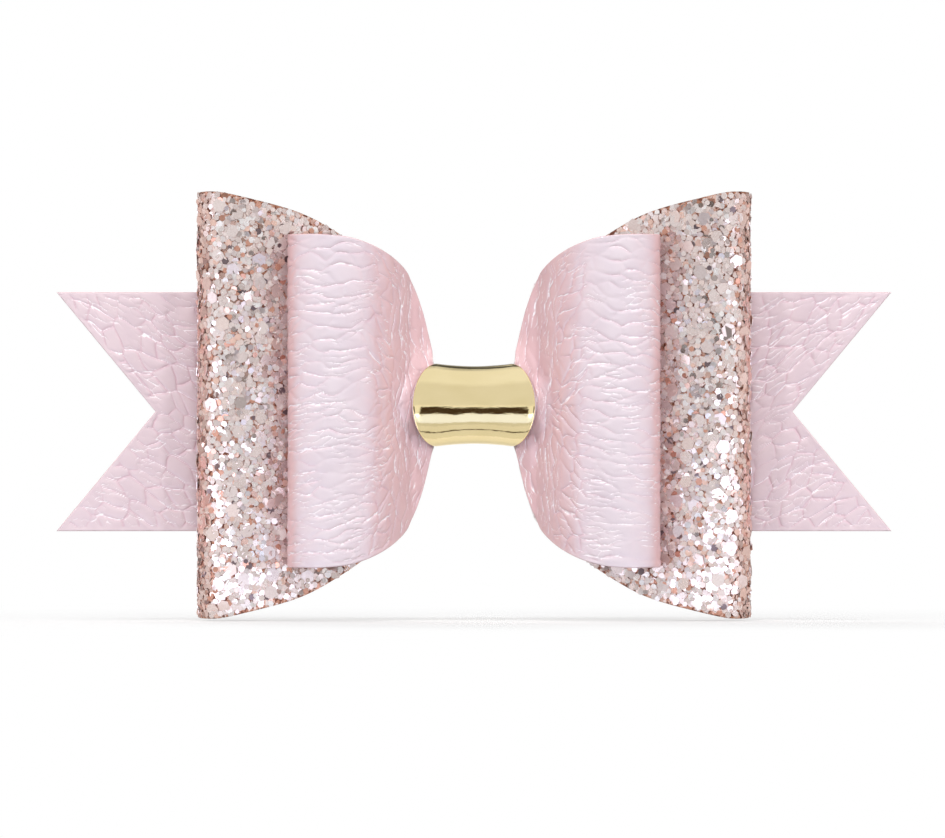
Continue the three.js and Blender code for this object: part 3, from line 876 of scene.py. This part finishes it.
def scatter_flakes(name, route, low_s, high_s, seed):
    """All layers of flakes on the rear strip between two distances along it."""
    rng = np.random.default_rng(seed)
    layers = []
    for spacing, radius, jitter, lift, palest in FLAKE_LAYERS:
        s, z = flake_places(route, low_s, high_s, spacing, jitter, radius * 0.8, rng)
        middle, outward = pinched(route, s, z)
        height = GLITTER_T / 2 + lift + rng.uniform(0, 0.06, len(s))
        radii = radius * rng.uniform(0.86, 1.08, len(s))
        tones = rng.uniform(0, palest, len(s))
        layers.append((middle + outward * height[:, None], outward, radii, tones))
    centres, normals, radii, tones = (np.concatenate(group) for group in zip(*layers))
    return hexagon_flakes(name, centres, normals, radii, tones, seed)


def make_rear_loops():
    route = loop_route(REAR_FACE_Y, REAR_RISES, REAR_TABS_Y)
    along, z, edge = loop_grid(route, REAR_EDGE, REAR_WAIST, 0.0, 0.45, 0.8)
    middle, outward = pinched(route, along, z)
    lumps = 0.05 * noise(along, z, 1.1, 41) * smoothstep(edge / 0.5)
    piece = sheet_object("rear_loops_glitter", (middle, outward), (along, z), edge, GLITTER_T,
                         (lumps, 0), (GROUND, BACKING))
    settle(piece, "rear_loops")

    left = route.along[route.points[:, 0].argmin()] - FOLD_TURN
    right = route.along[route.points[:, 0].argmax()] + FOLD_TURN
    centre = route.length / 2
    runs = {"left": (left, centre - PINCH_HIDES), "right": (centre + PINCH_HIDES, right),
            "back_left": (TABS_HIDE, left), "back_right": (right, route.length - TABS_HIDE)}
    flakes = [scatter_flakes("glitter_flakes_" + name, route, *run, seed)
              for seed, (name, run) in enumerate(runs.items(), start=51)]


# --- tails

TAIL_END_X = TAIL_HIGH[0] + 0.3
TAIL_HALF_HEIGHT = (TAIL_HIGH[2] - TAIL_LOW[2]) / 2
TAIL_MIDDLE_Z = (TAIL_HIGH[2] + TAIL_LOW[2]) / 2
TAIL_RISES = [(8, 0), (16, 0.65), (25, 1.15), (38, 1.7), (52, 2.1)]
TAIL_STRAIN = 0.24      # how far the whole of the tails is stretched, which makes them pinker


def make_tails():
    side = [(x, TAILS_Y - rise) for x, rise in TAIL_RISES]
    route = Route([*mirrored(side), (-WAIST_X, TAILS_Y), (WAIST_X, TAILS_Y), *side])
    straight = TAIL_STRAIGHT_X
    outer = np.linspace(straight, TAIL_END_X, 2 * round((TAIL_END_X - straight) / FINE_STEP / 2) + 1)
    inner = np.linspace(-straight, straight, 2 * round(straight / COARSE_STEP) + 1)
    rim = TAIL_END_X - np.array([0.75, 0.3]) * RIM
    outer = np.sort(np.concatenate([outer, rim]))
    column = np.concatenate([-outer[:0:-1], inner, outer[1:]])[:, None]
    rows = row_fractions(2 * TAIL_HALF_HEIGHT, FINE_STEP)[None] * 2 - 1

    reach = TAIL_NOTCH_X + (TAIL_END_X - TAIL_NOTCH_X) * np.abs(rows)
    squeeze = (reach - straight) / (TAIL_END_X - straight)
    past = np.maximum(np.abs(column) - straight, 0)
    x = np.sign(column) * (np.minimum(np.abs(column), straight) + past * squeeze)
    neck = catmull_rom([(WAIST_X, TAIL_WAIST), (9, 6.5), (15, 12.2), (21, TAIL_HALF_HEIGHT)])
    half = np.interp(np.abs(x), *neck.T)
    offset = rows * half
    along = np.interp(0, route.points[:, 0], route.along) + x
    z = TAIL_MIDDLE_Z + offset

    slope = math.hypot(TAIL_END_X - TAIL_NOTCH_X, TAIL_HALF_HEIGHT) / TAIL_HALF_HEIGHT
    edge = np.minimum(half - np.abs(offset), (reach - np.abs(x)) / slope)
    hide = z + OTHER_SIDE * (x > 0)
    grain = pebble(np.abs(x), hide, (2.5, 1.9), -0.45, 1.1, 0.8, seed=8)
    piece = leather_sheet("tails_leather", "tails", pinched(route, along, z), (along, z), edge,
                          grain, np.full_like(z, TAIL_STRAIN))
    reach_x = np.linspace(0, TAIL_END_X, 400)
    area = 4 * area_under(np.interp(reach_x, *neck.T), reach_x)
    area -= 2 * (TAIL_END_X - TAIL_NOTCH_X) * TAIL_HALF_HEIGHT * MM * MM


# --- centre wrap


def make_wrap():
    """A foil strip round the pinched stack. Its face is domed, and wider than its turns."""
    outer_y = WRAP_HIGH[1] - FOIL_T / 2
    inner_y = outer_y - FOIL_T - GLUE_T - 2 * LAYER_GAP
    edge_y = WRAP_FRONT_Y + WRAP_DOME
    radius = 1.7
    outer_radius = radius + outer_y - inner_y

    def arc(y, z, ry, rz, start, end):
        count = max(8, round(abs(end - start) * max(ry, rz) * math.pi / 180 / 0.13))
        angle = np.radians(np.linspace(start, end, count))
        return np.stack([y + ry * np.cos(angle), z + rz * np.sin(angle)], -1)

    def straight(a, b):
        count = max(2, round(math.dist(a, b) / 0.2))
        return np.linspace(a, b, count)

    runs = [
        straight((inner_y, -2.0), (inner_y, WRAP_TOP - radius)),
        arc(inner_y - radius, WRAP_TOP - radius, radius, radius, 0, 90),
        straight((inner_y - radius, WRAP_TOP), (edge_y, WRAP_TOP)),
        arc(edge_y, 0, WRAP_DOME, WRAP_TOP, 90, 270),
        straight((edge_y, -WRAP_TOP), (outer_y - outer_radius, -WRAP_TOP)),
        arc(outer_y - outer_radius, outer_radius - WRAP_TOP, outer_radius, outer_radius, 270, 360),
        straight((outer_y, outer_radius - WRAP_TOP), (outer_y, 2.0)),
    ]
    line = np.vstack([runs[0], *[run[1:] for run in runs[1:]]])
    if len(line) % 2 == 0:
        line = np.delete(line, 3, axis=0)
    on_face = smoothstep((edge_y - line[:, 0] + 0.2) / 0.6)[:, None]
    swell = wrap_half_width(line[:, 1:]) - WRAP_HALF_WIDTH
    half_width = WRAP_HALF_WIDTH + swell * on_face

    fractions = row_fractions(2 * (WRAP_HALF_WIDTH + WRAP_BULGE), 0.16) * 2 - 1
    x = half_width * fractions[None]
    y = line[:, :1] - wrap_flare(x) * on_face
    hollow = 1.035 - 0.07 * np.clip(1 - (x / WRAP_HALF_WIDTH) ** 2, 0, 1)
    z = line[:, 1:] * hollow
    middle = np.stack([x, y, z], -1)

    around = distances_along(line)
    along = np.broadcast_to(around[:, None], x.shape)
    outward = unit(np.cross(np.gradient(middle, axis=0), np.gradient(middle, axis=1)))
    edge = np.minimum(half_width - np.abs(x), np.minimum(along, around[-1] - along))
    ripple = 0.02 * noise(x, along, 2.4, 61) * smoothstep(edge / 0.5)
    piece = sheet_object("centre_wrap_foil", (middle, outward), (along, x), edge, FOIL_T,
                         (ripple, 0), (FOIL, BACKING))
    settle(piece, "centre_wrap")


# --- clip


def make_lining():
    """Grosgrain ribbon along the upper jaw, with its cross ribs."""
    low, high = box_mm("clip_lining")
    y = high[1] - RIBBON_T / 2
    route = Route([(low[0], y), (0, y), (15, y), (18.5, y), (22.3, y - 0.35), (high[0], y - 0.85)])
    s = np.linspace(0, route.length, 2 * round(route.length / 0.22) + 1)
    x, _ = route.place(s)
    half = np.interp(x, (-18, -6, 18, 20, 25), (2.2, 2.9, 3.0, 3.4, 3.1))
    along, z, edge = strip_grid(s, half, 0.5)
    rib = 0.05 * np.cos(along * 2 * math.pi / 0.9)
    piece = sheet_object("clip_lining_ribbon", bend_onto(route, along, z), (along, z), edge, RIBBON_T,
                         (rib, rib), (RIBBON, RIBBON))
    settle(piece, "clip_lining")


def tube_object(name, path, radius, sides, material):
    """A round wire along a smooth path, with domed ends."""
    tangent = unit(np.gradient(path, axis=0))
    side = np.zeros_like(path)
    side[0] = np.cross(tangent[0], (0, 0, 1))
    for i in range(1, len(path)):
        side[i] = unit(side[i - 1] - tangent[i] * np.dot(side[i - 1], tangent[i]))
    shrink = np.ones((len(path), 1, 1))
    shrink[[0, -1]] = 0.55
    ring = circles(side, np.cross(tangent, side), sides)
    return rings_object(name, path[:, None] + ring * radius * shrink, material)


def make_spring():
    """The torsion spring: a coil round the pin and a leg to each thumb tab."""
    pivot = middle_mm("clip_pin")
    wire = 0.28
    coil = 1.65
    turns = 3.5
    half_length = 1.4
    leg_end_x = 7.0
    steps = 36 * 4
    angle = np.linspace(-math.pi / 2, -math.pi / 2 - 2 * math.pi * turns, steps)
    z = np.linspace(-half_length, half_length, steps)
    around = np.stack([coil * np.cos(angle), coil * np.sin(angle), z], -1)
    legs = [np.linspace((leg_end_x, -3.25, -half_length), around[0], 14)[:-1],
            np.linspace(around[-1], (leg_end_x, 2.35, half_length), 14)[1:]]
    path = pivot + np.vstack([legs[0], around, legs[1]])
    piece = tube_object("clip_spring_wire", path, wire, 12, SPRING_STEEL)
    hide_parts("clip_spring")
    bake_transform(piece)


def make_glue_bead(name, side):
    """Glue squeezed out in an uneven bead along the lining, under the tails."""
    low, high = box_mm("glue_clip")
    steps = 60
    x = np.linspace(low[0] - 2.5, high[0] + 2.5, steps)
    wander = 0.18 * noise(x, x * 0, 2.2, 71 + side)
    path = np.stack([x, np.full_like(x, low[1] + 0.1), side * (2.95 + wander)], -1)
    taper = np.sqrt(np.clip(1 - np.linspace(-1, 1, steps) ** 4, 0.02, 1))
    swell = (0.34 + 0.1 * noise(x, x * 0 + 5, 1.7, 81 + side)) * taper
    sides = 16
    angles = np.arange(sides) * 2 * math.pi / sides
    ring = np.stack([np.zeros(sides), 0.75 * np.cos(angles), np.sin(angles)], -1)
    piece = rings_object(name, path[:, None] + ring[None] * swell[:, None, None], GLUE)
    settle(piece, "glue_clip" if side > 0 else None)


def paint_node(node, material):
    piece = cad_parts[node]
    piece.data.materials.clear()
    piece.data.materials.append(material)


make_front_loops()
make_rear_loops()
make_tails()
make_wrap()
make_lining()
make_spring()
make_glue_bead("glue_bead_upper", 1)
make_glue_bead("glue_bead_lower", -1)
for steel_node in ("clip_upper_jaw", "clip_lower_jaw", "clip_pin"):
    paint_node(steel_node, STEEL)
for glue_node in ("glue_front_tabs", "glue_loops", "glue_rear_tabs", "glue_tails", "glue_wrap"):
    paint_node(glue_node, GLUE)

# --- studio

CAMERA_LENS = 600.0
VIEW_WIDTH = 115.4
VIEW_CENTRE = (-0.18, -8.0, -1.7)
LEATHER_PIECES = ("front_loops_leather", "tails_leather")
AMBIENT = 0.42
FLOOR_SIZE = 6000
LIT_FROM = 30           # how far out the paper's own light begins, and where it is full
LIT_FULLY = 150
CREAM = (1.0, 0.99, 0.97)
# The cards across the middle, the farthest first: their edges to the right, colour and strength.
CARDS = {
    "dark_card": ([(30, 17.5, 4.0)], (0.055, 0.033, 0.016), 1.0),
    "bright_card": ([(29, 37, 18.5)], (0.72, 0.78, 1.0), 1.45),
    "shade_card": ([(33, 44.5, 37)], CREAM, 0.7),
    "dim_card": ([(36, 60.5, 44.5)], CREAM, 0.82),
    "dark_line": ([(14, 63.5, 60.3), (33, 66, 63), (52, 72, 69)], (0.05, 0.03, 0.015), 1.0),
    "lower_card": ([(14, 85, 63.5), (40, 85, 67)], CREAM, 0.82),
}


def make_floor():
    """White paper, evenly lit a little way from the bow."""
    paper = Shader("paper_floor", Roughness=0.9, Specular_IOR_Level=0.0, Emission_Color=(1, 1, 1, 1))
    tooth = paper.cloud(0.2, 3.0)
    tone = paper.ramp(tooth, [(0.3, (0.94, 0.94, 0.94)), (0.7, (0.96, 0.96, 0.96))])
    away = paper.node("VectorMath", {"operation": "LENGTH"}, Vector=paper.place()).outputs["Value"]
    lit = paper.remap(away, LIT_FROM, LIT_FULLY, 0.45, 1.0)
    dimmed = paper.mix(1.0, tone, paper.math("SUBTRACT", 1.0, lit), "MULTIPLY")
    half = FLOOR_SIZE / 2
    corners = [(x * half, y * half, FLOOR_Z) for x, y in ((-1, -1), (1, -1), (1, 1), (-1, 1))]
    material = paper.wire(Base_Color=dimmed, Emission_Strength=lit)
    floor = mesh_object("floor", corners, [[0, 1, 2, 3]], [material])
    floor.visible_diffuse = False


def make_card(name, edges, colour, strength):
    """A card on the floor in front, which only reflections show: it makes a band across the foil.

    Each edge is (angle to the side, steepest, shallowest angle below the horizon), seen from the foil.
    """
    card = Shader(name, Base_Color=(0, 0, 0, 1), Roughness=1.0, Specular_IOR_Level=0.0,
                  Emission_Color=(*colour, 1), Emission_Strength=strength)
    height = FLOOR_Z + 0.2
    corners = []
    for side, steepest, shallowest in edges:
        for angle in (steepest, shallowest):
            reach = -height / math.tan(math.radians(angle))
            corners.append((reach * math.tan(math.radians(side)), WRAP_FRONT_Y - reach, height))
    faces = [[2 * k, 2 * k + 1, 2 * k + 3, 2 * k + 2] for k in range(len(edges) - 1)]
    plane = mesh_object(name, corners, faces, [card.material])
    for ray in ("camera", "diffuse", "shadow", "transmission"):
        setattr(plane, "visible_" + ray, False)


def area_light(name, place_mm, size_mm, power, falls_on=None):
    """A round softbox. One that falls on named pieces shows in their gloss, and the foil doesn't see it."""
    lamp = bpy.data.lights.new(name, "AREA")
    lamp.shape = "DISK"
    lamp.size = size_mm * MM
    lamp.energy = power
    light = bpy.data.objects.new(name, lamp)
    light.location = Vector(place_mm) * MM
    light.rotation_euler = (-light.location).to_track_quat("-Z", "Y").to_euler()
    light.visible_camera = False
    light.visible_glossy = falls_on is not None
    bpy.context.scene.collection.objects.link(light)
    if falls_on:
        lit = bpy.data.collections.new(name + "_lit")
        for piece in falls_on:
            lit.objects.link(bpy.data.objects[piece])
        light.light_linking.receiver_collection = lit


def make_world():
    """A white surround: plain white to the camera, paler overhead in reflections, and dimmer as light."""
    world = bpy.data.worlds.new("studio")
    bpy.context.scene.world = world
    world.use_nodes = True
    made = Nodes(world.node_tree)
    made.tree.nodes.clear()
    direction = made.node("TexCoord").outputs["Generated"]
    axes = made.node("SeparateXYZ", Vector=direction).outputs
    overhead = made.ramp(axes["Z"], [(0.62, (0.82, 0.82, 0.83)), (0.74, (0.95, 0.96, 1.0))])
    behind = made.remap(axes["Y"], 0.1, 0.5, 0.0, 1.0, "LINEAR")
    uneven = made.remap(made.noise(direction, 4.0, 0.0), 0.4, 0.6, 0.1, 0.65, "LINEAR")
    brightness = made.node("Mix")
    made.feed((brightness.inputs[0], brightness.inputs[2], brightness.inputs[3]), (behind, 1.0, uneven))
    reflected = made.node("Background", Color=overhead, Strength=brightness.outputs[0]).outputs[0]
    ambient = made.node("Background", Color=(1, 1, 1, 1), Strength=AMBIENT).outputs[0]
    seen = made.node("Background", Color=(1, 1, 1, 1)).outputs[0]
    path = made.node("LightPath").outputs
    light = ambient
    for ray, shown in (("Is Glossy Ray", reflected), ("Is Camera Ray", seen)):
        choice = made.node("MixShader")
        made.feed(choice.inputs, (path[ray], light, shown))
        light = choice.outputs[0]
    made.node("OutputWorld", Surface=light)


def make_camera():
    lens = bpy.data.cameras.new("camera")
    lens.lens = CAMERA_LENS
    lens.clip_end = 20
    distance = VIEW_WIDTH * CAMERA_LENS / lens.sensor_width
    camera = bpy.data.objects.new("camera", lens)
    x, y, z = VIEW_CENTRE
    camera.location = Vector((x, y - distance, z)) * MM
    camera.rotation_euler = (math.pi / 2, 0, 0)
    bpy.context.scene.collection.objects.link(camera)
    bpy.context.scene.camera = camera


make_floor()
for name, (half, colour, strength) in CARDS.items():
    make_card(name, [*mirrored(half), *half], colour, strength)
for name, side in (("bright_left", -1), ("bright_right", 1)):
    make_card(name, [(side * 29.5, 37, 17.5), (side * 38, 60, 16), (side * 60, 75, 14),
                     (side * 78, 80, 12)], (0.9, 0.95, 1.15), 3.0)
make_world()
area_light("front", (0, -1100, 330), 500, 3.1)
area_light("top", (0, -380, 680), 260, 1.7)
area_light("left", (-650, -480, 220), 240, 1.15)
area_light("right", (650, -480, 220), 240, 1.15)
area_light("back", (-250, 700, 450), 300, 3.0)
area_light("glint_left", (-330, -520, 420), 50, 1.0, LEATHER_PIECES)
area_light("glint_right", (330, -520, 420), 50, 1.0, LEATHER_PIECES)
make_camera()
bpy.context.scene.view_settings.view_transform = "Standard"
